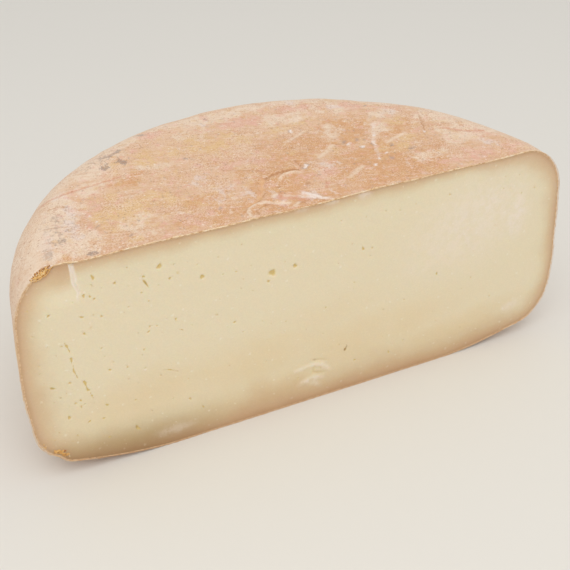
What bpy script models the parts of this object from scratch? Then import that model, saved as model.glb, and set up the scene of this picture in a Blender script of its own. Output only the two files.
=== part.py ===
"""Half wheel of a pressed ewe's milk cheese, cut through its middle and lying on its base.

The half wheel is one solid. A turned wheel is swelled a little by hand-made unevenness, a
straight cut takes its front half away, and what time and the knife left in it is then cut out:
eyes and a split in the paste, the knife's slip at the upper left, a pressed scar near the base,
chips in the rim and creases in the upper rind.

Metres, +Z up. The cut face looks to -Y, and the origin is in the middle of the base.
"""

import math
import random

import bpy
from mathutils import Matrix, Vector
from mathutils.bvhtree import BVHTree

# Driving dimensions of the whole wheel
WHEEL_RADIUS = 0.130  # at the fullest part of the side
WHEEL_HEIGHT = 0.1055
CUT_Y = -WHEEL_RADIUS / 2  # the cut face, which holds the wheel's axis

# The wheel's outline, from the middle of the top down the side to the middle of the base
TOP_DISH = 0.0005  # how far the middle of the top lies below its shoulder
TOP_FLAT_RADIUS = 0.1045
TOP_EDGE_WIDTH = 0.0225
TOP_EDGE_DROP = 0.0265
SIDE_BULGE = 0.0013
BASE_EDGE_WIDTH = 0.0190
BASE_EDGE_RISE = 0.0240
BASE_EDGE_RADIUS = 0.1105  # the middle of the lower edge's curve
BASE_LIFT = 0.0069  # how far the base has lifted there
BASE_LIFT_POWER = 1.6
BASE_EDGE_END = math.radians(-78)  # where that curve runs out into the lifted base
BASE_FLAT_RADIUS = 0.070
TURN_STEPS = 144
TOP_RINGS = 10
TOP_EDGE_RINGS = 8
SIDE_RINGS = 6
BASE_EDGE_RINGS = 7
LIFT_RINGS = 6

# Unevenness of the moulded wheel
SWELL_SIZE = 0.040
SWELL_HEIGHT = 0.0018

# The knife's slip at the upper left of the cut face
SLIP_X = -0.1026
SLIP_FOLD_Z = 0.0840
SLIP_DEPTH = 0.0014
SLIP_LEAN = math.radians(1.5)
SLIP_OVERRUN = 0.020  # how far the wedge that cuts it runs above the wheel

# The larger eyes in the paste: place on the cut face, width, height, and lean in degrees
LARGE_EYES = [
    (-0.0687, 0.0938, 0.0022, 0.0042, 35),
    (-0.0751, 0.0880, 0.0018, 0.0064, -20),
    (-0.0951, 0.0963, 0.0026, 0.0026, 0),
    (-0.0870, 0.0913, 0.0022, 0.0018, 10),
    (-0.0649, 0.0871, 0.0020, 0.0020, 0),
    (-0.0513, 0.0838, 0.0027, 0.0030, 0),
    (-0.0204, 0.0768, 0.0038, 0.0043, 0),
    (-0.0099, 0.0774, 0.0028, 0.0023, 20),
    (-0.0978, 0.0893, 0.0024, 0.0020, 0),
    (-0.1019, 0.0796, 0.0031, 0.0017, 5),
    (-0.1019, 0.0717, 0.0023, 0.0022, 0),
    (-0.0644, 0.0668, 0.0021, 0.0021, 0),
    (-0.0757, 0.0653, 0.0020, 0.0032, 30),
    (-0.1183, 0.0493, 0.0034, 0.0018, 10),
    (-0.0978, 0.0327, 0.0031, 0.0018, 10),
    (-0.1143, 0.0320, 0.0026, 0.0023, 0),
    (-0.0868, 0.0153, 0.0026, 0.0041, -25),
    (-0.0388, 0.0569, 0.0021, 0.0018, 0),
    (-0.0619, 0.0225, 0.0023, 0.0017, 10),
    (0.0148, 0.0242, 0.0014, 0.0034, 15),
    (0.0228, 0.0767, 0.0018, 0.0036, 10),
    (0.0624, 0.0523, 0.0017, 0.0028, -15),
]

# Smaller eyes between them
EYE_COUNT = 34
EYE_WIDTHS = (0.0013, 0.0020)
EYE_STRETCHES = (0.6, 1.3)
EYE_MARGIN = 0.013
EYE_GAP = 0.0022
EYE_CROWDING = 2.6  # above 1 they crowd towards the left
EYE_SLIP_GAP = 0.006
EYE_SPLIT_GAP = 0.008
EYE_SEED = 11
EYE_SINK_SHARE = 0.08  # how far an eye's middle lies behind the face, as a share of its width

# Creases in the upper rind, as routes over the top seen from above, from the wheel's axis
CREASES = {
    "crease_long": (
        [(-0.027, 0.010), (-0.019, 0.0155), (-0.0135, 0.025), (-0.0085, 0.0305), (0.009, 0.0315)],
        0.0028,
    ),
    "crease_branch": ([(0.0095, 0.0325), (0.0092, 0.036), (0.0087, 0.0395)], 0.0018),
    "crease_lobe": ([(-0.0265, 0.001), (-0.025, 0.0065), (-0.020, 0.009)], 0.0022),
    "crease_scratch": ([(0.0835, 0.058), (0.080, 0.048), (0.074, 0.034)], 0.0014),
    "crease_right": ([(0.083, 0.0405), (0.090, 0.034), (0.1005, 0.027)], 0.0016),
    "crease_left": ([(-0.091, 0.0545), (-0.078, 0.0575), (-0.066, 0.060)], 0.0015),
}
CREASE_DEPTH = 0.0009
CREASE_END_SHARE = 0.35  # how wide a crease still is at its ends

# Pits in the upper rind: place from the wheel's axis, and width
PITS = [
    (0.0104, 0.0324, 0.0034),
    (0.0551, 0.0346, 0.0030),
    (0.0615, 0.0270, 0.0026),
    (-0.0615, 0.0738, 0.0040),
    (-0.0705, 0.0710, 0.0044),
    (-0.0365, 0.0154, 0.0022),
    (-0.0400, 0.0680, 0.0024),
]
PIT_LENGTH_SHARE = 1.3
PIT_WIDTH_SHARE = 0.9
PIT_DEPTH_SHARE = 0.28
PIT_TURN = 0.9  # each pit is turned this much further than the one before it

# The split at the left of the paste, as x and z on the cut face and its share of the width
SPLIT_ROUTE = [
    (-0.1098, 0.0690, 0.7),
    (-0.1086, 0.0610, 1.0),
    (-0.1078, 0.0515, 0.8),
    (-0.1050, 0.0470, 1.3),
    (-0.1032, 0.0396, 0.6),
]
SPLIT_WIDTH = 0.0010
SPLIT_SINK = 0.0001  # how far its middle lies behind the face

# The scar low in the middle of the face: two shallow dents, as x, z and width
SCAR_DENTS = [(-0.0035, 0.0135, 0.013), (0.0050, 0.0205, 0.009)]
SCAR_HEIGHT_SHARE = 0.55
SCAR_THICKNESS = 0.004
SCAR_PROUD = 0.0012  # how far the middle of the ball that presses a dent lies before the face
SCAR_LEAN = math.radians(-35)

# The rim's two broken places, as x, z, width, and lean in degrees
CHIPS = [(-0.1138, 0.1030, 0.0085, -28), (-0.1215, 0.0150, 0.0060, 42)]
CHIP_THICKNESS = 0.0042
CHIP_HEIGHT = 0.0036

RIND_COLOUR = (0.74, 0.47, 0.28, 1.0)
PASTE_COLOUR = (0.75, 0.61, 0.38, 1.0)


def clear_scene():
    for old in list(bpy.data.objects):
        bpy.data.objects.remove(old)


def make_collection(name):
    made = bpy.data.collections.new(name)
    bpy.context.scene.collection.children.link(made)
    return made


def make_material(name, colour, roughness):
    material = bpy.data.materials.new(name)
    material.use_nodes = True
    surface = material.node_tree.nodes["Principled BSDF"]
    surface.inputs["Base Color"].default_value = colour
    surface.inputs["Roughness"].default_value = roughness
    surface.inputs["Metallic"].default_value = 0.0
    return material


def move_to(obj, collection):
    for holder in list(obj.users_collection):
        holder.objects.unlink(obj)
    collection.objects.link(obj)
    return obj


def arc(centre, width, height, start, end, steps):
    """Points on an ellipse, with angles from straight out to straight up."""
    points = []
    for step in range(steps + 1):
        angle = start + (end - start) * step / steps
        points.append((centre[0] + width * math.cos(angle), centre[1] + height * math.sin(angle)))
    return points


def wheel_outline():
    """The wheel's outline as (radius, height), from the middle of the top to that of the base."""
    points = []
    for ring in range(TOP_RINGS):
        share = ring / TOP_RINGS
        points.append((TOP_FLAT_RADIUS * share, WHEEL_HEIGHT - TOP_DISH * (1 - share**2)))
    shoulder = (TOP_FLAT_RADIUS, WHEEL_HEIGHT - TOP_EDGE_DROP)
    points += arc(shoulder, TOP_EDGE_WIDTH, TOP_EDGE_DROP, math.pi / 2, 0, TOP_EDGE_RINGS)

    upper = Vector(points[-1])
    lower = Vector((BASE_EDGE_RADIUS + BASE_EDGE_WIDTH, BASE_LIFT + BASE_EDGE_RISE))
    for ring in range(1, SIDE_RINGS):
        share = ring / SIDE_RINGS
        radius, height = upper.lerp(lower, share)
        points.append((radius + SIDE_BULGE * 4 * share * (1 - share), height))

    corner = (BASE_EDGE_RADIUS, lower.y)
    points += arc(corner, BASE_EDGE_WIDTH, BASE_EDGE_RISE, 0, BASE_EDGE_END, BASE_EDGE_RINGS)
    end_radius, end_height = points[-1]
    for ring in range(1, LIFT_RINGS):
        share = 1 - ring / LIFT_RINGS
        radius = BASE_FLAT_RADIUS + (end_radius - BASE_FLAT_RADIUS) * share
        points.append((radius, end_height * share**BASE_LIFT_POWER))
    return points + [(BASE_FLAT_RADIUS, 0.0), (BASE_FLAT_RADIUS / 2, 0.0), (0.0, 0.0)]


def turned_wheel(collection, rind):
    """The whole wheel: its outline turned round its axis, then swelled everywhere but the base."""
    outline = wheel_outline()
    mesh = bpy.data.meshes.new("half_wheel")
    edges = [(n, n + 1) for n in range(len(outline) - 1)]
    mesh.from_pydata([(radius, 0, height) for radius, height in outline], edges, [])
    mesh.materials.append(rind)
    wheel = bpy.data.objects.new("half_wheel", mesh)
    wheel.location = (0, CUT_Y, 0)
    collection.objects.link(wheel)

    free = wheel.vertex_groups.new(name="free rind")
    for n, (_, height) in enumerate(outline):
        free.add([n], min(1.0, height / BASE_LIFT), "REPLACE")

    turn = wheel.modifiers.new("turn", "SCREW")
    turn.axis = "Z"
    turn.angle = math.tau
    turn.steps = turn.render_steps = TURN_STEPS
    turn.use_merge_vertices = True
    turn.merge_threshold = 0.00005

    uneven = bpy.data.textures.new("hand-made unevenness", "CLOUDS")
    uneven.noise_scale = SWELL_SIZE
    uneven.noise_depth = 1
    swell = wheel.modifiers.new("swell", "DISPLACE")
    swell.texture = uneven
    swell.texture_coords = "LOCAL"
    swell.strength = SWELL_HEIGHT
    swell.mid_level = 0.5
    swell.vertex_group = free.name
    return wheel


def swelled_skin(wheel):
    """The swelled wheel's surface as it stands, for laying creases and pits on it."""
    graph = bpy.context.evaluated_depsgraph_get()
    mesh = bpy.data.meshes.new_from_object(wheel.evaluated_get(graph))
    mesh.transform(Matrix.Translation(wheel.location))
    corners = [vertex.co.copy() for vertex in mesh.vertices]
    faces = [tuple(face.vertices) for face in mesh.polygons]
    bpy.data.meshes.remove(mesh)
    return BVHTree.FromPolygons(corners, faces)


def box(name, size, corner, turn, collection, material):
    """A box whose far right top corner lies at a point, turned about that corner."""
    bpy.ops.mesh.primitive_cube_add(size=1)
    made = bpy.context.object
    made.name = name
    made.data.transform(Matrix.Diagonal((*size, 1)) @ Matrix.Translation((-0.5, -0.5, -0.5)))
    made.matrix_world = Matrix.Translation(corner) @ turn
    made.data.materials.append(material)
    return move_to(made, collection)


def blades(collection, paste):
    """The straight cut through the middle, and the wedge where the knife slipped deeper."""
    front = (WHEEL_RADIUS * 2, CUT_Y, WHEEL_HEIGHT * 2)
    straight = (WHEEL_RADIUS * 4, WHEEL_RADIUS * 2, WHEEL_HEIGHT * 3)
    box("straight_cut", straight, front, Matrix.Identity(4), collection, paste)

    over = SLIP_OVERRUN
    rise = WHEEL_HEIGHT - SLIP_FOLD_Z
    tilt = math.atan2(SLIP_DEPTH, rise)
    corner = (SLIP_X, CUT_Y + SLIP_DEPTH * (rise + over) / rise, WHEEL_HEIGHT + over)
    turn = Matrix.Rotation(SLIP_LEAN, 4, "Y") @ Matrix.Rotation(-tilt, 4, "X")
    size = (WHEEL_RADIUS, WHEEL_RADIUS, (rise + over) * 1.5)
    box("knife_slip", size, corner, turn, collection, paste)


def hollow(name, size, place, turn, collection, material, fineness=1):
    """A stretched ball, which leaves a hollow where it cuts the surface."""
    bpy.ops.mesh.primitive_ico_sphere_add(subdivisions=fineness, radius=0.5)
    made = bpy.context.object
    made.name = name
    made.data.transform(Matrix.Diagonal((*size, 1)))
    made.matrix_world = Matrix.Translation(place) @ turn
    made.data.materials.append(material)
    return move_to(made, collection)


def groove(name, route, width, collection, material):
    """A round-bottomed groove, cut by a tube: its route is a list of (x, y, z, share of width)."""
    curve = bpy.data.curves.new(name, "CURVE")
    curve.dimensions = "3D"
    curve.bevel_depth = width / 2
    curve.bevel_resolution = 1
    curve.use_fill_caps = True
    spline = curve.splines.new("POLY")
    spline.points.add(len(route) - 1)
    for point, (x, y, z, share) in zip(spline.points, route):
        point.co = (x, y, z, 1)
        point.radius = share
    tube = bpy.data.objects.new(name + "_route", curve)
    collection.objects.link(tube)

    graph = bpy.context.evaluated_depsgraph_get()
    mesh = bpy.data.meshes.new_from_object(tube.evaluated_get(graph))
    bpy.data.objects.remove(tube)
    cutter = bpy.data.objects.new(name, mesh)
    mesh.materials.clear()
    mesh.materials.append(material)
    collection.objects.link(cutter)
    weld = cutter.modifiers.new("weld caps", "WELD")
    weld.merge_threshold = 0.00002
    return cutter


def side_radius(height):
    """The wheel's radius at a height, read from its outline."""
    outline = wheel_outline()
    side = [point for point in outline if point[0] > BASE_FLAT_RADIUS]
    for (r1, z1), (r2, z2) in zip(side, side[1:]):
        if z2 <= height <= z1 and z1 > z2:
            return r1 + (r2 - r1) * (z1 - height) / (z1 - z2)
    return TOP_FLAT_RADIUS


def eye_places():
    """Where all eyes are. The smaller ones lie mostly at the left, and none of them touch."""
    draw = random.Random(EYE_SEED)
    split = [place[:2] for place in SPLIT_ROUTE]
    found = [(x, z, w, h / w, math.radians(lean)) for x, z, w, h, lean in LARGE_EYES]
    while len(found) < len(LARGE_EYES) + EYE_COUNT:
        height = draw.uniform(EYE_MARGIN, WHEEL_HEIGHT - EYE_MARGIN)
        reach = side_radius(height) - EYE_MARGIN
        x = reach * (2 * draw.random() ** EYE_CROWDING - 1)
        width = draw.uniform(*EYE_WIDTHS)
        near_slip = x < SLIP_X + EYE_SLIP_GAP and height > SLIP_FOLD_Z - EYE_SLIP_GAP
        near_split = any(math.dist((x, height), place) < EYE_SPLIT_GAP for place in split)
        near_eye = any(math.dist((x, height), eye[:2]) < EYE_GAP + eye[2] * eye[3] for eye in found)
        if not (near_slip or near_split or near_eye):
            stretch = draw.uniform(*EYE_STRETCHES)
            found.append((x, height, width, stretch, draw.uniform(0, math.pi)))
    return found


def cut_eyes(collection, paste):
    for n, (x, height, width, stretch, lean) in enumerate(eye_places()):
        place = (x, CUT_Y + EYE_SINK_SHARE * width, height)
        size = (width, width, width * stretch)
        turn = Matrix.Rotation(lean, 4, "Y")
        fineness = 2 if n < len(LARGE_EYES) else 1
        hollow(f"eye_{n:02d}", size, place, turn, collection, paste, fineness)


def cut_split(collection, paste):
    route = [(x, CUT_Y + SPLIT_SINK, z, share) for x, z, share in SPLIT_ROUTE]
    groove("split", route, SPLIT_WIDTH, collection, paste)


def cut_scar(collection, paste):
    """Two shallow dents side by side, pressed into the paste low in the middle."""
    turn = Matrix.Rotation(SCAR_LEAN, 4, "Y")
    for n, (x, height, width) in enumerate(SCAR_DENTS):
        size = (width, SCAR_THICKNESS, width * SCAR_HEIGHT_SHARE)
        place = (x, CUT_Y - SCAR_PROUD, height)
        hollow(f"scar_{n}", size, place, turn, collection, paste, fineness=2)


def cut_chips(collection, paste):
    """The rim's two broken places, at the upper left and the lower left of the cut."""
    for n, (x, height, width, lean) in enumerate(CHIPS):
        size = (width, CHIP_THICKNESS, CHIP_HEIGHT)
        turn = Matrix.Rotation(math.radians(lean), 4, "Y")
        hollow(f"chip_{n}", size, (x, CUT_Y, height), turn, collection, paste, fineness=2)


def top_height(skin, x, y):
    """The height of the swelled top at a place."""
    return skin.ray_cast(Vector((x, y, WHEEL_HEIGHT * 2)), Vector((0, 0, -1)))[0].z


def rounded(corners):
    """A route with its corners cut off twice, and its two ends kept."""
    for _ in range(2):
        softer = [corners[0]]
        for start, end in zip(corners, corners[1:]):
            softer += [start.lerp(end, 0.25), start.lerp(end, 0.75)]
        corners = softer + [corners[-1]]
    return corners


def laid_route(skin, route, width):
    """A crease's route laid on the top, thinner and shallower towards its ends."""
    places = rounded([Vector(corner) for corner in route])
    laid = []
    for n, place in enumerate(places):
        swell = math.sin(math.pi * n / (len(places) - 1))
        share = CREASE_END_SHARE + (1 - CREASE_END_SHARE) * swell
        x, y = place.x, CUT_Y + place.y
        laid.append((x, y, top_height(skin, x, y) + (width / 2 - CREASE_DEPTH) * share, share))
    return laid


def cut_top(skin, collection, rind):
    """Creases and pits in the upper rind, measured from the wheel's axis."""
    for name, (route, width) in CREASES.items():
        groove(name, laid_route(skin, route, width), width, collection, rind)
    for n, (x, depth, width) in enumerate(PITS):
        y = CUT_Y + depth
        height = top_height(skin, x, y) + width * (0.5 - PIT_DEPTH_SHARE)
        size = (width * PIT_LENGTH_SHARE, width * PIT_WIDTH_SHARE, width)
        turn = Matrix.Rotation(PIT_TURN * n, 4, "Z")
        hollow(f"pit_{n}", size, (x, y, height), turn, collection, rind)


def subtract(wheel, collection, name):
    cut = wheel.modifiers.new(name, "BOOLEAN")
    cut.operation = "DIFFERENCE"
    cut.operand_type = "COLLECTION"
    cut.collection = collection
    cut.solver = "EXACT"
    cut.material_mode = "TRANSFER"
    for cutter in collection.objects:
        cutter.hide_render = True
        cutter.display_type = "WIRE"


def main():
    clear_scene()
    cheese = make_collection("cheese")
    knives = make_collection("knives")
    hollows = make_collection("hollows")
    rind = make_material("rind", RIND_COLOUR, 0.85)
    paste = make_material("paste", PASTE_COLOUR, 0.45)

    wheel = turned_wheel(cheese, rind)
    skin = swelled_skin(wheel)
    blades(knives, paste)
    subtract(wheel, knives, "knives")

    cut_eyes(hollows, paste)
    cut_split(hollows, paste)
    cut_scar(hollows, paste)
    cut_chips(hollows, paste)
    cut_top(skin, hollows, rind)
    subtract(wheel, hollows, "hollows")


main()
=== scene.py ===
import math
import random

import bpy
import numpy as np
from mathutils import Matrix, Vector


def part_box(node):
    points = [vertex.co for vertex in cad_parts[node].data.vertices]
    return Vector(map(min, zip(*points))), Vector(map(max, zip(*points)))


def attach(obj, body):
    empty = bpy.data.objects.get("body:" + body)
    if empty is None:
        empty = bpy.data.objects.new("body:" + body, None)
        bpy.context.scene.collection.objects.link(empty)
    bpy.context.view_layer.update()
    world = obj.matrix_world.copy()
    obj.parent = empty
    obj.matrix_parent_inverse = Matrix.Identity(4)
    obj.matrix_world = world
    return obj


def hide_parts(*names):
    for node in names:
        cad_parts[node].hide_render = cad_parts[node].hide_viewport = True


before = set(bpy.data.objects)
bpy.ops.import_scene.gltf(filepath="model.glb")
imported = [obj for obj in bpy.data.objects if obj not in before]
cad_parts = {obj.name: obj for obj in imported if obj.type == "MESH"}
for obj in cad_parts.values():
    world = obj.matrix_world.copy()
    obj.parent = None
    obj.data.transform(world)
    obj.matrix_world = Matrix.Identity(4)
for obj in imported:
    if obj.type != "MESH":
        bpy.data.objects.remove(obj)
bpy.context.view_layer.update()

# The paste: pressed ewe's milk curd, close, ivory and a little elastic, browner just under the
# rind. A long knife cut the wheel through its middle, so the cut face holds the wheel's axis,
# and the small eyes that formed while it ripened lie open on it.

MM = 0.001
CUT_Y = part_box("half_wheel")[0][1]
HEIGHT = 105.5 * MM
TOP_FLAT_RADIUS = 104.5 * MM
TOP_DISH = 0.5 * MM
TOP_EDGE_WIDTH = 22.5 * MM
TOP_EDGE_DROP = 26.5 * MM
SIDE_BULGE = 1.3 * MM
BASE_EDGE_RADIUS = 110.5 * MM
BASE_EDGE_WIDTH = 19 * MM
BASE_EDGE_RISE = 24 * MM
BASE_EDGE_END = math.radians(-78)
BASE_LIFT = 6.9 * MM
BASE_LIFT_POWER = 1.6
BASE_FLAT_RADIUS = 70 * MM
SWELL_SIZE = 40 * MM
SWELL_HEIGHT = 1.8 * MM
SAME_PLACE = 0.002 * MM


def arc(centre, width, height, start, end, steps):
    """Points on an ellipse, with angles from straight out to straight up."""
    angles = [start + (end - start) * step / steps for step in range(steps + 1)]
    return [(centre[0] + width * math.cos(a), centre[1] + height * math.sin(a)) for a in angles]


def wheel_outline(spacing):
    """From the middle of the wheel's top to that of its base, as (radius, height) evenly spaced."""
    steps = 20
    shares = [step / steps for step in range(steps)]
    points = [(TOP_FLAT_RADIUS * share, HEIGHT - TOP_DISH * (1 - share**2)) for share in shares]
    shoulder = (TOP_FLAT_RADIUS, HEIGHT - TOP_EDGE_DROP)
    points += arc(shoulder, TOP_EDGE_WIDTH, TOP_EDGE_DROP, math.pi / 2, 0, steps)
    upper = Vector(points[-1])
    lower = Vector((BASE_EDGE_RADIUS + BASE_EDGE_WIDTH, BASE_LIFT + BASE_EDGE_RISE))
    for share in shares[1:]:
        radius, height = upper.lerp(lower, share)
        points.append((radius + SIDE_BULGE * 4 * share * (1 - share), height))
    corner = (BASE_EDGE_RADIUS, lower.y)
    points += arc(corner, BASE_EDGE_WIDTH, BASE_EDGE_RISE, 0, BASE_EDGE_END, steps)
    end_radius, end_height = points[-1]
    for share in shares[:0:-1]:
        radius = BASE_FLAT_RADIUS + (end_radius - BASE_FLAT_RADIUS) * share
        points.append((radius, end_height * share**BASE_LIFT_POWER))
    points = np.array(points + [(BASE_FLAT_RADIUS, 0.0), (0.0, 0.0)])
    along = np.append(0, np.cumsum(np.hypot(*np.diff(points, axis=0).T)))
    even = np.linspace(0, along[-1], round(along[-1] / spacing) + 1)
    return np.column_stack([np.interp(even, along, column) for column in points.T])


def turned(name, outline, angle, steps):
    """The wheel's skin: its outline drawn point by point, then spun round the wheel's axis."""
    bpy.ops.object.select_all(action="DESELECT")
    bpy.ops.mesh.primitive_plane_add(size=MM, location=(0, CUT_Y, 0))
    piece = bpy.context.object
    piece.name = piece.data.name = name
    bpy.context.tool_settings.mesh_select_mode = (True, False, False)
    bpy.ops.object.mode_set(mode="EDIT")
    bpy.ops.mesh.merge(type="CENTER")
    bpy.ops.transform.translate(value=(outline[0][0], 0, outline[0][1]))
    for across, up in np.diff(outline, axis=0):
        bpy.ops.mesh.extrude_region_move(TRANSFORM_OT_translate={"value": (across, 0, up)})
    bpy.ops.mesh.select_all(action="SELECT")
    bpy.ops.mesh.spin(steps=steps, angle=angle, center=(0, CUT_Y, 0), axis=(0, 0, -1))
    bpy.ops.mesh.select_all(action="SELECT")
    bpy.ops.mesh.remove_doubles(threshold=SAME_PLACE)
    bpy.ops.mesh.normals_make_consistent(inside=False)
    bpy.ops.object.mode_set(mode="OBJECT")
    return piece


def apply(piece, modifier):
    """Makes a modifier's work a part of the mesh."""
    bpy.context.view_layer.objects.active = piece
    bpy.ops.object.modifier_apply(modifier=modifier.name)


def places(piece):
    """Where the piece's vertices lie, as rows of x, y and z."""
    found = np.empty(len(piece.data.vertices) * 3, np.float32)
    piece.data.vertices.foreach_get("co", found)
    return found.reshape(-1, 3).astype(float)


def put(piece, found):
    """Moves the piece's vertices to other places."""
    piece.data.vertices.foreach_set("co", found.astype(np.float32).ravel())
    piece.data.update()


def weigh(piece, name, weights):
    """A vertex group with a weight for each vertex."""
    group = piece.vertex_groups.new(name=name)
    for n, weight in enumerate(weights):
        group.add([n], weight, "REPLACE")


def displace(piece, size, height, depth=1, group=""):
    """Pushes the skin in and out by a cloudy pattern of a size."""
    clouds = bpy.data.textures.new(f"{piece.name} {size / MM:.1f} mm", "CLOUDS")
    clouds.noise_scale, clouds.noise_depth = size, depth
    push = piece.modifiers.new("uneven", "DISPLACE")
    push.texture, push.texture_coords = clouds, "LOCAL"
    push.strength, push.mid_level, push.vertex_group = height, 0.5, group
    apply(piece, push)


def swell(piece):
    """The unevenness of a wheel moulded by hand, everywhere but on its flat base."""
    weigh(piece, "free", np.minimum(1.0, places(piece)[:, 2] / BASE_LIFT))
    displace(piece, SWELL_SIZE, SWELL_HEIGHT, group="free")


def pick(piece):
    """Leaves this piece alone selected, and active."""
    bpy.ops.object.select_all(action="DESELECT")
    piece.select_set(True)
    bpy.context.view_layer.objects.active = piece


def settle(piece):
    """Leaves the piece's object at the origin, with its place in its mesh."""
    pick(piece)
    bpy.ops.object.transform_apply(location=True, rotation=True, scale=True)


def select_faces(piece, rule):
    """Selects the faces whose middles fit a rule, and nothing else, and starts to edit them."""
    mesh = piece.data
    middles = np.empty(len(mesh.polygons) * 3, np.float32)
    mesh.polygons.foreach_get("center", middles)
    mesh.vertices.foreach_set("select", np.zeros(len(mesh.vertices), bool))
    mesh.edges.foreach_set("select", np.zeros(len(mesh.edges), bool))
    mesh.polygons.foreach_set("select", rule(middles.reshape(-1, 3)))
    bpy.context.view_layer.objects.active = piece
    bpy.context.tool_settings.mesh_select_mode = (False, False, True)
    bpy.ops.object.mode_set(mode="EDIT")


# inside the rind the paste lies deeper than where the rind thins out at the cut
INSET, INSET_AT_CUT, INSET_FADE = 1.6 * MM, 0.45 * MM, 6 * MM
PASTE_SPACING, PASTE_STEPS = 2.4 * MM, 90

paste = turned("paste", wheel_outline(PASTE_SPACING), math.tau, PASTE_STEPS)
swell(paste)
from_cut = np.abs(places(paste)[:, 1])
weigh(paste, "inset", np.interp(from_cut, (0, INSET_FADE), (INSET_AT_CUT / INSET, 1)))
shrink = paste.modifiers.new("inset", "DISPLACE")
shrink.strength, shrink.mid_level, shrink.vertex_group = -INSET, 0.0, "inset"
apply(paste, shrink)
paste.vertex_groups.clear()
settle(paste)

# the knife's flat, with a fine grid on it, leaves the cut face
GRID = 1.5 * MM
BLOCK_WIDTH, BLOCK_HEIGHT, BLOCK_DEPTH = 276 * MM, 120 * MM, 140 * MM
bpy.ops.object.select_all(action="DESELECT")
bpy.ops.mesh.primitive_grid_add(
    x_subdivisions=round(BLOCK_WIDTH / GRID),
    y_subdivisions=round(BLOCK_HEIGHT / GRID),
    size=1,
    location=(0, CUT_Y, HEIGHT / 2),
    rotation=(math.pi / 2, 0, 0),
)
block = bpy.context.object
block.scale = (BLOCK_WIDTH, BLOCK_HEIGHT, 1)
settle(block)
bpy.context.tool_settings.mesh_select_mode = (False, True, False)
bpy.ops.object.mode_set(mode="EDIT")
bpy.ops.mesh.select_all(action="DESELECT")
bpy.ops.mesh.select_non_manifold()
bpy.ops.mesh.extrude_region_move(TRANSFORM_OT_translate={"value": (0, BLOCK_DEPTH, 0)})
bpy.ops.mesh.edge_face_add()
bpy.ops.mesh.select_all(action="SELECT")
bpy.ops.mesh.normals_make_consistent(inside=False)
bpy.ops.object.mode_set(mode="OBJECT")
cut = paste.modifiers.new("cut", "BOOLEAN")
cut.operation, cut.object, cut.solver = "INTERSECT", block, "EXACT"
apply(paste, cut)
bpy.data.objects.remove(block)

# eyes, in millimetres on the cut face: across from the axis, up, width, height, lean in degrees
EYES = [
    (-68.6, 93.9, 1.9, 3.6, -42), (-75.4, 91.0, 1.3, 1.5, 20), (-74.9, 87.8, 1.1, 5.2, 22),
    (-95.0, 96.4, 1.5, 2.7, 15), (-87.0, 91.4, 1.6, 1.3, 0), (-64.9, 87.1, 1.4, 1.5, 20),
    (-51.4, 83.9, 2.0, 2.7, 10), (-20.4, 76.8, 3.2, 4.0, 0), (-22.4, 73.1, 1.7, 1.4, 0),
    (-9.9, 77.3, 2.4, 2.2, 20), (-99.6, 89.2, 1.4, 1.8, 0), (-95.7, 86.6, 1.3, 1.2, 0),
    (-97.3, 88.2, 0.9, 1.8, 25), (-101.8, 79.7, 1.9, 1.2, -20), (-94.1, 77.7, 1.4, 1.1, -20),
    (-101.9, 71.6, 1.5, 1.4, 0), (-64.3, 66.8, 1.4, 1.3, 0), (-75.5, 66.6, 1.2, 1.1, 30),
    (-76.3, 64.2, 1.7, 1.0, 20), (-118.4, 49.3, 2.5, 1.3, -25), (-111.2, 49.6, 1.3, 1.4, 0),
    (-98.0, 32.8, 1.9, 1.2, -25), (-114.2, 31.9, 1.7, 2.0, 0), (-86.7, 15.2, 1.7, 3.4, 25),
    (-85.8, 30.9, 1.2, 1.0, -20), (-110.5, 38.4, 1.3, 1.4, 0), (-108.3, 39.2, 0.9, 1.8, 15),
    (-94.4, 50.5, 1.6, 1.2, 10), (-87.1, 49.3, 1.1, 1.0, 0), (-79.2, 55.9, 1.3, 1.0, -25),
    (-96.3, 62.4, 1.0, 1.0, 0), (-114.1, 84.2, 1.6, 1.3, 30), (-83.0, 78.8, 1.0, 0.9, 0),
    (-77.0, 83.8, 1.1, 1.1, 0), (-74.6, 79.0, 1.1, 0.9, 45), (-61.9, 22.5, 1.2, 1.7, 30),
    (-56.3, 15.6, 1.0, 1.9, 35), (-38.8, 56.9, 1.5, 1.3, 0), (14.8, 23.8, 1.3, 1.7, -20),
    (22.9, 76.9, 1.2, 2.6, 10), (27.4, 76.0, 1.0, 1.1, 0), (20.0, 15.6, 1.9, 0.9, -10),
    (38.4, 14.0, 1.0, 2.0, 25), (62.4, 52.2, 1.1, 2.1, 30), (66.0, 93.0, 1.2, 0.9, 0),
    (-36.7, 82.1, 1.1, 1.0, 0), (-42.5, 82.6, 1.0, 0.8, 30), (-46.3, 63.2, 1.0, 0.9, 0),
    (-100.4, 26.2, 1.7, 1.0, -30), (-106.4, 26.8, 0.9, 2.2, -50), (-99.3, 14.9, 1.5, 1.2, -20),
    (-108.8, 61.2, 1.1, 2.2, 5), (-104.6, 43.4, 1.6, 1.8, 0), (-105.2, 47.9, 1.2, 2.2, 20),
]
EYE_DEPTH, EYE_DEPTH_SHARE = 0.1, 0.2
# an eye's outline swings out and in: how many times round, how far, and its turn from eye to eye
EYE_SWINGS = [(2, 0.16, 1.0), (3, 0.14, 2.3)]
# where its wall starts and ends, as shares of its reach
EYE_WALL = (0.3, 1.25)
EYE_GOLD, EYE_GOLD_BY_SIZE = 0.3, 0.35
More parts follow.
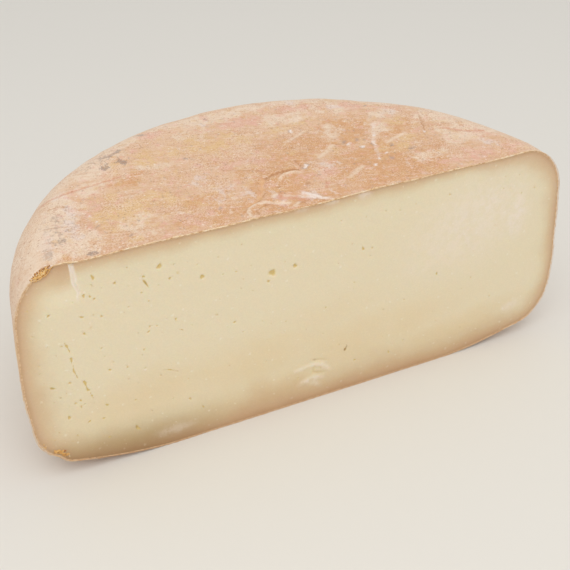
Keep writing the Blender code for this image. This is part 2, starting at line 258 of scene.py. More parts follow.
# pinholes crowd towards the left
PINHOLES, PINHOLE_CROWDING, PINHOLE_GAP = 130, 1.8, 2.6
PINHOLE_LEFT, PINHOLE_REACH, PINHOLE_HEIGHTS = -122, 235, (13, 98)
PINHOLE_SIZES, PINHOLE_FLATNESS = (0.5, 1.1), (0.6, 1.0)
SPLITS = [
    ([(-110.2, 69.8), (-109.6, 68.0), (-108.8, 64.8)], 1.1),
    ([(-109.0, 62.0), (-108.8, 58.8)], 0.8),
    ([(-108.6, 58.0), (-108.8, 55.0), (-108.2, 53.2), (-107.8, 50.8)], 0.8),
    ([(-106.4, 49.4), (-105.3, 47.5), (-105.0, 45.4), (-104.6, 42.9)], 1.1),
    ([(-103.8, 41.6), (-103.2, 38.6)], 0.8),
    ([(-108.4, 37.6), (-108.8, 34.4)], 0.6),
    ([(-72.2, 42.6), (-69.0, 41.5), (-66.0, 39.6)], 0.5),
    ([(-63.4, 61.3), (-61.4, 60.0)], 0.5),
]
SPLIT_DEPTH, SPLIT_WALL, SPLIT_LEAST = 0.25, (0.2, 1), 0.05
# a split's width swings along it: its middle share, how far, and how fast
SPLIT_WIDE, SPLIT_SWING, SPLIT_SWINGS = 0.5, 0.3, 11
# the line where the knife slipped, from the top down
SLIP = [
    (-103.0, 108.0), (-103.0, 95.5), (-102.3, 93.0), (-101.7, 91.4), (-102.3, 89.4), (-102.6, 84.0),
]
SLIP_DEPTH, SLIP_WALL, SLIP_FOOT, SLIP_FULL = 1.3, 1.7, 86.0, 97.0
# the scar's ridges and dents: route, half width, and height, below zero for a dent
SCAR = [
    ([(-11.0, 19.4), (-5.0, 20.3), (-1.0, 20.5), (2.0, 19.6), (4.5, 17.2), (6.5, 14.8)], 2.0, 0.36),
    ([(-2.2, 23.4), (-0.9, 22.8), (2.0, 22.1), (5.5, 20.6)], 1.1, -0.3),
    ([(-1.4, 19.0), (-1.8, 16.2), (0.5, 14.7), (4.0, 14.0)], 1.4, -0.36),
    ([(-9.0, 11.2), (-5.0, 12.4), (-2.0, 12.9), (2.5, 11.6)], 2.4, 0.32),
    ([(-4.5, 10.6), (-1.0, 9.6), (1.0, 7.4)], 2.6, 0.26),
]
SCAR_FADE = 0.3

draw = random.Random(5)
holes = list(EYES)
while len(holes) < len(EYES) + PINHOLES:
    across = PINHOLE_LEFT + PINHOLE_REACH * draw.random() ** PINHOLE_CROWDING
    up = draw.uniform(*PINHOLE_HEIGHTS)
    if all(math.dist((across, up), hole[:2]) > PINHOLE_GAP for hole in holes):
        size = draw.uniform(*PINHOLE_SIZES)
        holes.append((across, up, size, size * draw.uniform(*PINHOLE_FLATNESS), draw.uniform(0, 180)))


def near(points, route):
    """How far points lie from a route of straight stretches, and how far along it they are."""
    nearest, along = np.full(len(points), np.inf), np.zeros(len(points))
    for n, (start, end) in enumerate(zip(route, route[1:])):
        start, run = np.array(start), np.subtract(end, start)
        share = np.clip((points - start) @ run / (run @ run), 0, 1)
        gap = np.hypot(*(points - start - share[:, None] * run).T)
        closer = gap < nearest
        nearest[closer], along[closer] = gap[closer], ((n + share) / (len(route) - 1))[closer]
    return nearest, along


def smooth(value, start, end):
    """From 0 to 1, without a corner, as a value goes from start to end."""
    share = np.clip((value - start) / (end - start), 0, 1)
    return share * share * (3 - 2 * share)


def fades(along, power=0.5):
    """From almost nothing at a route's two ends to full in its middle."""
    least = 0.03
    return np.sin(np.pi * np.clip(along, least, 1 - least)) ** power


def oval(points, across, up, half_width, half_height, lean):
    """How far points lie from an oval's middle, as shares of its reach, and their angles in it."""
    turn = math.radians(lean)
    offset = points - (across, up)
    u = (offset[:, 0] * math.cos(turn) + offset[:, 1] * math.sin(turn)) / half_width
    v = (offset[:, 1] * math.cos(turn) - offset[:, 0] * math.sin(turn)) / half_height
    return np.hypot(u, v), np.arctan2(v, u)


PATCH_EDGE = (0.2, 1.5)


def patches(points, spots):
    """How strongly soft ovals cover points: across, up, half sizes, lean, and strength."""
    cover = np.zeros(len(points))
    for *shape, strength in spots:
        cover = np.maximum(cover, strength * (1 - smooth(oval(points, *shape)[0], *PATCH_EDGE)))
    return cover


ON_FACE = CUT_Y + 0.01 * MM
# how far past a mark the mesh is made finer
EYE_SHARE_ROUND, EYE_MARGIN, MARK_MARGIN, SLIP_MARGIN = 0.62, 0.5, 0.6, 1


def fine_places(middles):
    """Faces close to an eye, a split, the scar or the knife's slip."""
    flat = middles[:, ::2] / MM
    wanted = np.zeros(len(middles), bool)
    for across, up, width, height, _ in holes:
        reach = EYE_SHARE_ROUND * max(width, height) + EYE_MARGIN
        wanted |= np.hypot(flat[:, 0] - across, flat[:, 1] - up) < reach
    for route, width, *_ in SPLITS + SCAR:
        wanted |= near(flat, route)[0] < width + MARK_MARGIN
    wanted |= near(flat, SLIP)[0] < SLIP_WALL + SLIP_MARGIN
    return wanted & (middles[:, 1] < ON_FACE)


def slip_line(up):
    """How far across the slip's line lies at a height."""
    return np.interp(up, [height for _, height in SLIP[::-1]], [across for across, _ in SLIP[::-1]])


def slip_recess(flat):
    """How far the knife's slip lies behind the cut face, at places in millimetres on the face."""
    past = slip_line(flat[:, 1]) + SLIP_WALL - flat[:, 0]
    return SLIP_DEPTH * smooth(past, 0, SLIP_WALL) * smooth(flat[:, 1], SLIP_FOOT, SLIP_FULL)


# two bites out of the rim: middle, reach, depth, and the way they go in
CHIPS = [((-113.6, 103.2), 5.2, 1.9, (0.45, -0.89)), ((-120.5, 14.0), 5.5, 1.3, (0.66, 0.75))]
CHIP_FLOOR = 0.25


def bite(found):
    """Presses the rim in where it is chipped."""
    for middle, reach, depth, (across, up) in CHIPS:
        gap = np.linalg.norm((found - (middle[0] * MM, CUT_Y, middle[1] * MM)) / MM, axis=1)
        push = depth * MM * (1 - smooth(gap, CHIP_FLOOR * reach, reach))
        found[:, 0] += push * across
        found[:, 2] += push * up


def face_rim(piece):
    """The straight stretches of the line round the cut face, in millimetres."""
    faces_forward = -0.99
    count = {}
    for flat_face in piece.data.polygons:
        if flat_face.normal.y < faces_forward:
            for edge in flat_face.edge_keys:
                count[edge] = count.get(edge, 0) + 1
    corners = places(piece)[:, ::2] / MM
    return [(corners[a], corners[b]) for (a, b), faces in count.items() if faces == 1]


# the band under the rind is narrow at the top and wide at the base: angle round the face, share
BAND_SHARES = [
    (-180, 0.8), (-165, 0.7), (-150, 0.6), (-120, 0.5), (-30, 0.62), (-15, 1.0), (0, 1.25),
    (10, 1.1), (19, 0.8), (27, 0.85), (35, 1.9), (60, 1.5), (90, 1.25), (150, 1.35), (165, 1.0),
    (180, 0.85),
]

rim = face_rim(paste)
select_faces(paste, fine_places)
bpy.ops.mesh.subdivide(number_cuts=4)
bpy.ops.object.mode_set(mode="OBJECT")

found = places(paste)
face = found[:, 1] < ON_FACE
flat = found[face][:, ::2] / MM
deep, golden = np.zeros(len(flat)), np.zeros(len(flat))
for n, (across, up, width, height, lean) in enumerate(holes):
    reach, angle = oval(flat, across, up, width / 2, height / 2, lean)
    reach /= 1 + sum(far * np.cos(times * angle + turn * n) for times, far, turn in EYE_SWINGS)
    inside = 1 - smooth(reach, *EYE_WALL)
    deep = np.maximum(deep, inside * (EYE_DEPTH_SHARE * min(width, height) + EYE_DEPTH))
    gold = min(1.0, EYE_GOLD + EYE_GOLD_BY_SIZE * max(width, height))
    golden = np.maximum(golden, inside * gold)
for route, width in SPLITS:
    gap, along = near(flat, route)
    swing = SPLIT_SWING * np.sin(along * SPLIT_SWINGS + len(route))
    wide = width * (SPLIT_WIDE + swing) * fades(along)
    inside = 1 - smooth(gap / np.maximum(wide, SPLIT_LEAST), *SPLIT_WALL)
    deep = np.maximum(deep, inside * SPLIT_DEPTH)
    golden = np.maximum(golden, inside)
scar = np.zeros(len(flat))
for route, width, height in SCAR:
    gap, along = near(flat, route)
    scar += height * (1 - smooth(gap, 0, width)) * fades(along, SCAR_FADE)
found[face, 1] += (deep + slip_recess(flat) - scar) * MM
bite(found)
put(paste, found)


def keep(piece, name, values):
    """Stores a number for each vertex, which a material can read by its name."""
    layer = piece.data.attributes.new(name, "FLOAT", "POINT")
    layer.data.foreach_set("value", np.asarray(values, np.float32))


def keep_on_face(name, values):
    """The same for the cut face alone, with nothing on the rest of the paste."""
    spread = np.zeros(len(found))
    spread[face] = values
    keep(paste, name, spread)


# pale places, dark places and warm places on the face, the warm ones a painted warm light bounced up from
# below: across, up, half sizes, lean, and strength
PALE_SPOTS = [
    (88, 84, 9, 8, 0, 0.8), (104, 74, 6, 13, 0, 0.9), (80, 76, 34, 22, 15, 0.55),
    (55, 60, 12, 6, 10, 0.3), (108, 20, 6, 3, 15, 0.5), (-70, 8, 9, 3, 0, 0.35),
    (23, 103.5, 3.5, 2, 0, 0.6), (8, 104, 4, 1.5, 0, 0.5), (-6, 104, 3, 1.5, 0, 0.4),
]
WARM_BOUNCE_SPOTS = [
    (-82, 30, 34, 15, 8, 0.6), (-34, 32, 46, 15, 4, 0.6), (24, 28, 54, 14, 4, 0.6),
    (75, 18, 40, 8, 6, 0.6), (0, 46, 34, 10, 5, 0.3), (-20, 16, 50, 8, 0, 0.5),
]
DARK_SPOTS = [
    (14.6, 23.6, 0.7, 0.7, 0, 0.9), (15.3, 25.0, 0.4, 1.2, -25, 0.7),
    (-87.2, 15.8, 0.5, 0.9, 20, 0.5), (-75.0, 88.0, 0.4, 1.6, 22, 0.4),
    (-71.2, 91.2, 0.4, 0.4, 0, 0.7), (-118.4, 49.3, 0.8, 0.4, -20, 0.4),
    (-1.1, 23.0, 0.9, 0.7, -30, 0.3),
]
# the slip's wall is a pale wedge, sharp on its left and fading on its right: crushed paste, with a painted
# highlight where the wall catches the light. The paste to the left of it, in the recess, is browner: the
# band under the rind is widened there, partly as painted shade
WEDGE_HEIGHTS, WEDGE_WIDTHS = (90, 95, 106), (1.2, 2.9, 1.9)
WEDGE_LEFT, WEDGE_RIGHT, WEDGE_FOOT = (-0.25, 0.05), (0.5, 1), (86.5, 90)
BROWN_SHADE_LEFT, BROWN_SHADE_RIGHT, BROWN_SHADE_FOOT, BROWN_SHADING = (-16, -3), (-0.3, 0), (84, 96), 0.55
# the scar's ridges get a pale painted highlight and its dents a golden painted shade: how strong for each
# millimetre, and at most
RIDGE_HIGHLIGHT, RIDGE_MOST_HIGHLIGHT = 2.2, 0.7
DENT_SHADE, DENT_MOST_SHADE = 1.2, 0.4
past_slip = flat[:, 0] - slip_line(flat[:, 1])
wedge = np.interp(flat[:, 1], WEDGE_HEIGHTS, WEDGE_WIDTHS)
slip_wall = smooth(past_slip, *WEDGE_LEFT) * (1 - smooth(past_slip / wedge, *WEDGE_RIGHT))
slip_wall *= smooth(flat[:, 1], *WEDGE_FOOT)
brown_shade = smooth(past_slip, *BROWN_SHADE_LEFT) * (1 - smooth(past_slip, *BROWN_SHADE_RIGHT))
brown_shade *= smooth(flat[:, 1], *BROWN_SHADE_FOOT)
pale = np.maximum(slip_wall, patches(flat, PALE_SPOTS))
pale = np.maximum(pale, np.clip(RIDGE_HIGHLIGHT * scar, 0, RIDGE_MOST_HIGHLIGHT))
band = np.full(len(flat), np.inf)
for start, end in rim:
    angle = math.degrees(math.atan2((start[1] + end[1] - HEIGHT / MM) / 2, (start[0] + end[0]) / 2))
    share = np.interp(angle, *zip(*BAND_SHARES))
    band = np.minimum(band, share * (near(flat, (start, end))[0] + INSET_AT_CUT / MM))
keep_on_face("from rind", band * (1 - BROWN_SHADING * brown_shade))
keep_on_face("golden", np.maximum(golden, np.clip(-DENT_SHADE * scar, 0, DENT_MOST_SHADE)))
keep_on_face("pale", pale)
keep_on_face("warm_bounce", patches(flat, WARM_BOUNCE_SPOTS))
keep_on_face("dark", patches(flat, DARK_SPOTS))
pick(paste)
bpy.ops.object.shade_smooth_by_angle(angle=math.radians(50))


def colour(red, green, blue):
    """A colour as seen, from 0 to 255 a channel, as the linear numbers that a shader takes."""
    seen = [channel / 255 for channel in (red, green, blue)]
    return (*[c / 12.92 if c < 0.04045 else ((c + 0.055) / 1.055) ** 2.4 for c in seen], 1.0)


def material_for(piece, name, roughness):
    """A new material on a piece, as its node tree and its shader."""
    made = bpy.data.materials.new(name)
    made.use_nodes = True
    piece.data.materials.append(made)
    shader = made.node_tree.nodes["Principled BSDF"]
    shader.inputs["Roughness"].default_value = roughness
    return made.node_tree, shader


def feed(tree, socket, value):
    """Links another node's output to a socket, or sets the socket's own value."""
    if isinstance(value, bpy.types.NodeSocket):
        tree.links.new(value, socket)
    else:
        socket.default_value = value


def node(tree, kind, settings=None, **inputs):
    """A shader node, with its settings and what feeds its inputs."""
    made = tree.nodes.new("ShaderNode" + kind)
    for name, value in (settings or {}).items():
        setattr(made, name, value)
    for name, value in inputs.items():
        feed(tree, made.inputs[name.replace("_", " ")], value)
    return made


def sums(tree, operation, *values):
    """A sum of numbers, such as their product."""
    made = node(tree, "Math", {"operation": operation})
    for socket, value in zip(made.inputs, values):
        feed(tree, socket, value)
    return made.outputs[0]


def blend(tree, share, first, second, way="MIX"):
    """Goes from a first colour to a second as a share goes from 0 to 1."""
    made = node(tree, "Mix", {"data_type": "RGBA", "blend_type": way})
    for place, value in ((0, share), (6, first), (7, second)):
        feed(tree, made.inputs[place], value)
    return made.outputs[2]


def kept(tree, name):
    """The number that a piece keeps by this name."""
    return node(tree, "Attribute", {"attribute_name": name}).outputs["Fac"]


def new_group(name, inputs, output):
    """An effect as a node group: its tree, what it is given by name, and where its result goes."""
    group = bpy.data.node_groups.new(name, "ShaderNodeTree")
    for title, kind in inputs.items():
        group.interface.new_socket(title, in_out="INPUT", socket_type="NodeSocket" + kind)
    group.interface.new_socket(output, in_out="OUTPUT", socket_type="NodeSocketFloat")
    given = group.nodes.new("NodeGroupInput").outputs
    return group, given, group.nodes.new("NodeGroupOutput").inputs[output]


def grouped(tree, group, **inputs):
    """An effect placed in a material, with its own values."""
    made = tree.nodes.new("ShaderNodeGroup")
    made.node_tree = group
    for name, value in inputs.items():
        feed(tree, made.inputs[name], value)
    return made.outputs[0]


clouds, given, result = new_group(
    "clouds", {"Vector": "Vector", "Size": "Float", "Detail": "Float", "Roughness": "Float"}, "Height"
)
scale = sums(clouds, "DIVIDE", 1.0, given["Size"])
look = {name: given[name] for name in ("Vector", "Detail", "Roughness")}
feed(clouds, result, node(clouds, "TexNoise", Scale=scale, **look).outputs["Fac"])


def cloud(tree, where, size, detail=3.0, rough=0.55):
    """A cloudy pattern whose clouds have a size."""
    return grouped(tree, clouds, Vector=where, Size=size, Detail=detail, Roughness=rough)


def between(tree, value, low, high, start=0.0, end=1.0):
    """Goes smoothly from start to end as a value goes from low to high."""
    made = node(tree, "MapRange", {"interpolation_type": "SMOOTHSTEP"}, Value=value)
    for name, limit in (("From Min", low), ("From Max", high), ("To Min", start), ("To Max", end)):
        feed(tree, made.inputs[name], limit)
    return made.outputs["Result"]


def ramp(tree, value, stops):
    """Colours along a value, given as (value, colour)."""
    first, last = stops[0][0], stops[-1][0]
    share = sums(tree, "DIVIDE", sums(tree, "SUBTRACT", value, first), last - first)
    made = node(tree, "ValToRGB", Fac=share)
    bars = made.color_ramp.elements
    while len(bars) < len(stops):
        bars.new(0.5)
    for bar, (place, tint) in zip(bars, stops):
        bar.position = (place - first) / (last - first)
        bar.color = tint
    return made.outputs["Color"]


def placed(tree, where, scale=(1, 1, 1), turn=0.0, shift=(0, 0, 0)):
    """A piece's coordinates stretched, turned in degrees round the upright, and shifted."""
    angles = (0, 0, math.radians(turn))
    return node(tree, "Mapping", Vector=where, Location=shift, Rotation=angles, Scale=scale).outputs[0]


def bump(tree, height, distance, normal=None, strength=1.0):
    """Raises the surface where a pattern is high, on top of what is raised already."""
    made = node(tree, "Bump", Height=height, Distance=distance, Strength=strength)
    if normal is not None:
        tree.links.new(normal, made.inputs["Normal"])
    return made.outputs[0]


tree, shader = material_for(paste, "ivory paste", 0.5)
where = node(tree, "TexCoord").outputs["Object"]
uneven = between(tree, cloud(tree, where, 20 * MM, 3), 0.3, 0.7, 0.8, 1.25)
body = ramp(
    tree,
    sums(tree, "MULTIPLY", kept(tree, "from rind"), uneven),
    [
        (0.5, colour(199, 160, 122)),
        (2.0, colour(210, 178, 142)),
        (4.0, colour(216, 190, 153)),
        (6.5, colour(223, 204, 170)),
        (10.0, colour(228, 214, 182)),
        (16.0, colour(230, 216, 185)),
    ],
)
apart = node(tree, "SeparateXYZ", Vector=where).outputs
# painted shade darkens its foot, most of all in the lower left corner, and painted warm light, as if
# bounced up from below, warms patches of its lower half
foot_shade = between(tree, apart["Z"], 24 * MM, 0.0, 0.0, 0.4)
# the painted shade is deepest in the lower left corner
at_left = between(tree, apart["X"], -30 * MM, -90 * MM)
corner = sums(tree, "MULTIPLY", at_left, between(tree, apart["Z"], 26 * MM, 4 * MM))
# painted warm light bounced up from below, in patches
patchy = between(tree, cloud(tree, where, 24 * MM), 0.3, 0.65, 0.7, 1.1)
warm_bounce = sums(tree, "MULTIPLY", kept(tree, "warm_bounce"), patchy)
for painted_light, tint in ((foot_shade, (225, 210, 190)), (corner, (218, 213, 196)), (warm_bounce, (251, 241, 226))):
    body = blend(tree, painted_light, body, colour(*tint), "MULTIPLY")
# whitish flecks lie all over the face, fainter by the rind: spacing, how few show, strength
FLECKS = [(6.5 * MM, 0.45, 0.45), (2.8 * MM, 0.66, 0.3)]
# their radius as a share of the spacing: the least, and how much more by chance
FLECK_LEAST, FLECK_SPREAD = 0.03, 0.09
on_face = node(tree, "CombineXYZ", X=apart["X"], Y=apart["Z"]).outputs[0]
frayed = between(tree, cloud(tree, where, 0.9 * MM, 3), 0.35, 0.65, 0.5, 1.5)
inwards = between(tree, kept(tree, "from rind"), 1.0, 8.0, 0.3, 1.0)
for spacing, fewness, strength in FLECKS:
    cells = node(tree, "TexVoronoi", {"voronoi_dimensions": "2D"}, Vector=on_face, Scale=1 / spacing)
    drawn = node(tree, "SeparateColor", Color=cells.outputs["Color"]).outputs
    radius = sums(tree, "MULTIPLY_ADD", drawn["Red"], FLECK_SPREAD, FLECK_LEAST)
    radius = sums(tree, "MULTIPLY", radius, frayed)
    spot = between(tree, sums(tree, "DIVIDE", cells.outputs["Distance"], radius), 1.1, 0.4)
    shown = between(tree, drawn["Green"], fewness, fewness + 0.2, 0.0, strength)
    shown = sums(tree, "MULTIPLY", shown, inwards)
    body = blend(tree, sums(tree, "MULTIPLY", spot, shown), body, colour(242, 233, 216))
# the pale places include the painted highlight on the slip's wall and on the scar's ridges
ragged = between(tree, cloud(tree, where, 3 * MM, 4, 0.65), 0.36, 0.6, 0.35, 1.0)
pale = sums(tree, "MULTIPLY", kept(tree, "pale"), ragged)
body = blend(tree, pale, body, colour(238, 224, 208))
grain = between(tree, cloud(tree, where, 0.8 * MM, 2), 0.35, 0.65, 0.985, 1.015)
body = node(tree, "HueSaturation", Value=grain, Color=body).outputs[0]
# golden in the eyes and splits, and golden painted shade in the scar's dents
golden = between(tree, kept(tree, "golden"), 0.05, 0.9, 0.0, 0.95)
body = blend(tree, golden, body, colour(214, 187, 120))
body = blend(tree, kept(tree, "dark"), body, colour(150, 116, 66))
feed(tree, shader.inputs["Base Color"], body)
feed(tree, shader.inputs["Roughness"], between(tree, cloud(tree, where, 9 * MM), 0.3, 0.7, 0.42, 0.58))
drag = cloud(tree, placed(tree, where, (0.15, 1, 1)), 1.5 * MM)
relief = bump(tree, drag, 0.12 * MM, strength=0.6)
relief = bump(tree, cloud(tree, where, 12 * MM, 2), 0.6 * MM, relief, 0.5)
feed(tree, shader.inputs["Normal"], relief)
shader.inputs["Subsurface Weight"].default_value = 0.25
shader.inputs["Subsurface Radius"].default_value = (1.0, 0.6, 0.3)
shader.inputs["Subsurface Scale"].default_value = 3 * MM
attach(paste, "root")
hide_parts("half_wheel")

# The rind: the wheel's own skin, salted, brushed and rubbed until it is dry, orange-tan and finely
# grained, paler round its edge, partly by a painted sheen, and greyed by moulds at the left. It goes all
# round the paste.
# Creases in its top were pressed in while it was still soft.

RIND_THICKNESS = 0.7 * MM
# routes over the top, in millimetres from the wheel's axis, with a width, and a depth that is
# below zero for a ridge
CREASES = {
    "long": (
        [(-27, 10), (-23, 12.5), (-19, 15.5), (-16, 19.5), (-13.5, 25), (-11, 29), (-6, 31), (9, 31.5)],
        1.3,
        0.65,
    ),
    "branch": ([(9.5, 32.5), (9.2, 36.0), (8.7, 39.5)], 0.9, 0.45),
    "lobe": ([(-28.6, -1.0), (-28.2, 4.0), (-26.5, 8.0), (-23.0, 10.6), (-18.0, 12.0)], 1.3, -0.65),
    "fold": ([(-4.5, 27.0), (-1.0, 29.3), (5.0, 30.0)], 1.2, -0.5),
    "white ridge": ([(-2.0, 13.0), (3.0, 6.5), (8.0, 1.0)], 1.8, -0.5),
    "left ridge": ([(-14.5, 12.0), (-12.0, 9.5), (-9.0, 7.0)], 1.4, -0.4),
    "scratch": ([(83.5, 58.0), (80.0, 48.0), (74.0, 34.0)], 0.7, 0.4),
    "right vein": ([(83.0, 40.5), (89.0, 35.0), (94.0, 30.5), (100.5, 27.0)], 0.8, 0.3),
    "left vein": ([(-102.0, 55.0), (-91.0, 54.5), (-78.0, 57.5), (-66.0, 60.0)], 0.8, 0.3),
    "left split": ([(-104.0, 45.0), (-98.5, 45.5), (-94.0, 43.0)], 0.8, 0.3),
}
CREASE_WALL, LIP_HEIGHT, LIP_PLACE = 1.3, 0.35, 1.9
# across, back, half sizes, lean, and depth
PITS = [
    (10.4, 32.4, 1.7, 1.2, 60, 0.8), (55, 34.6, 1.6, 0.8, 70, 0.6), (61.5, 27, 1.3, 0.8, 20, 0.5),
    (-70.5, 71, 2.0, 2.6, -30, 0.5), (-61.5, 73.8, 1.8, 3.0, 10, 0.5), (-92.5, 3, 2.2, 1.4, 0, 0.5),
    (20.3, 69.5, 0.9, 1.6, 0, 0.5), (38.3, 46, 1.2, 2.2, 20, 0.4), (43.3, 25, 1.0, 1.0, 0, 0.4),
]
PIT_WALL = (0.3, 1.3)
# the heights between which the side gives way to the top, and how far round a mark it is finer
UPPER, TOP_LOWEST = (95, 103), 95 * MM
CREASE_MARGIN, PIT_MARGIN = 1.5, 4
# the skin's finer unevenness: size, height, and how many sizes of cloud
RIND_BUMPS = [(9 * MM, 0.5 * MM, 2), (3.5 * MM, 0.22 * MM, 1)]
RIND_SPACING, RIND_STEPS = 2 * MM, 180
AT_CUT, PROUD, SLIP_FADE = 0.001 * MM, 0.03 * MM, 8


def crease_places(middles):
    """Faces in the top near a crease or a pit, on a piece whose own middle is the wheel's axis."""
    top = middles[:, :2] / MM
    wanted = np.zeros(len(middles), bool)
    for route, width, _ in CREASES.values():
        wanted |= near(top, route)[0] < 2 * width + CREASE_MARGIN
    for across, back, *_ in PITS:
        wanted |= np.hypot(top[:, 0] - across, top[:, 1] - back) < PIT_MARGIN
    return wanted & (middles[:, 2] > TOP_LOWEST)


rind = turned("rind", wheel_outline(RIND_SPACING), math.pi, RIND_STEPS)
select_faces(rind, crease_places)
bpy.ops.mesh.subdivide(number_cuts=2)
bpy.ops.object.mode_set(mode="OBJECT")
at_cut = np.abs(places(rind)[:, 1]) < AT_CUT
swell(rind)
for size, height, depth in RIND_BUMPS:
    displace(rind, size, height, depth, "free")
rind.vertex_groups.clear()
settle(rind)
found = places(rind)
top = np.column_stack([found[:, 0], found[:, 1] - CUT_Y]) / MM
upper = smooth(found[:, 2] / MM, *UPPER)
for route, width, deep in CREASES.values():
    gap, along = near(top, route)
    lip = LIP_HEIGHT * np.exp(-(((gap - width * LIP_PLACE) / width) ** 2))
    dent = 1 - smooth(gap, 0, width * CREASE_WALL) - lip
    found[:, 2] -= deep * dent * fades(along) * upper * MM
for *shape, deep in PITS:
    found[:, 2] -= deep * (1 - smooth(oval(top, *shape)[0], *PIT_WALL)) * upper * MM
bite(found)
# its edge stands a hair proud of the paste
found[at_cut, 1] = CUT_Y - PROUD
behind = 1 - smooth((found[:, 1] - CUT_Y) / MM, 0, SLIP_FADE)
found[:, 1] += slip_recess(found[:, ::2] / MM) * behind * MM
put(rind, found)

# a copy of the rim's line becomes the torn edge below
bpy.context.view_layer.objects.active = rind
bpy.context.tool_settings.mesh_select_mode = (False, True, False)
bpy.ops.object.mode_set(mode="EDIT")
bpy.ops.mesh.select_all(action="DESELECT")
bpy.ops.mesh.select_non_manifold()
bpy.ops.mesh.duplicate()
bpy.ops.mesh.separate(type="SELECTED")
bpy.ops.object.mode_set(mode="OBJECT")
torn_edge = next(piece for piece in bpy.context.selected_objects if piece != rind)

wall = rind.modifiers.new("wall", "SOLIDIFY")
wall.thickness, wall.offset, wall.material_offset_rim = RIND_THICKNESS, -1, 1
tree, shader = material_for(rind, "orange-tan rind", 0.8)
rim_tree, rim_shader = material_for(rind, "rind in the cut", 0.7)
apply(rind, wall)
pick(rind)
bpy.ops.object.shade_smooth_by_angle(angle=math.radians(40))

